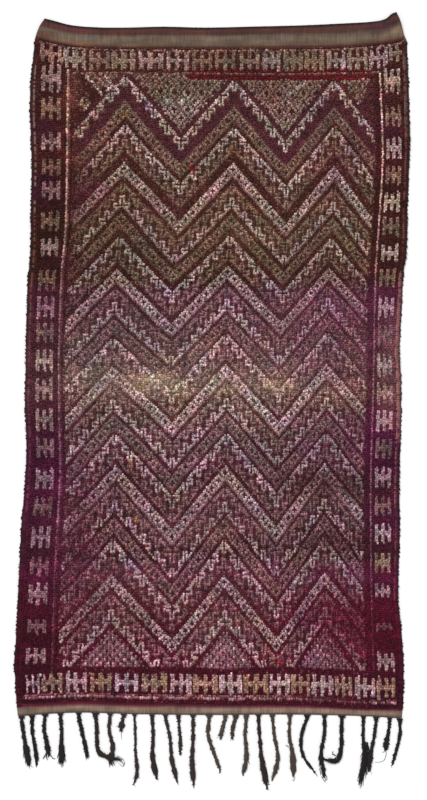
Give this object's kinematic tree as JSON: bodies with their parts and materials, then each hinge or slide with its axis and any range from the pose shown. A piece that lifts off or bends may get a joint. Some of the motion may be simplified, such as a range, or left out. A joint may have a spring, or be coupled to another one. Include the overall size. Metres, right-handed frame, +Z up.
{
  "type": "beni ourain rug",
  "caption": "Hand-knotted wool rug lying flat, with short worn pile in zigzag bands, comb-figured borders, thin flat-woven ends and a dark fringe of warp cords along the lower edge.",
  "frame": {"origin": "on the floor under the middle of the rug with its fringe", "axes": "+X to the right across the rug, +Y along its length towards the hemmed end, away from the fringe, +Z up out of the pile"},
  "size_m": [1.7966, 3.5354, 0.0133],
  "materials": {
    "pile_wool": "short worn knotted wool pile, maroon to purple ground with pink, taupe and tan figures",
    "warp_cord": "dark twisted goat-hair warp cords with loosened ends"
  },
  "bodies": {
    "root": {"rug": "pile_wool", "fringe": "warp_cord"}
  },
  "joints": []
}
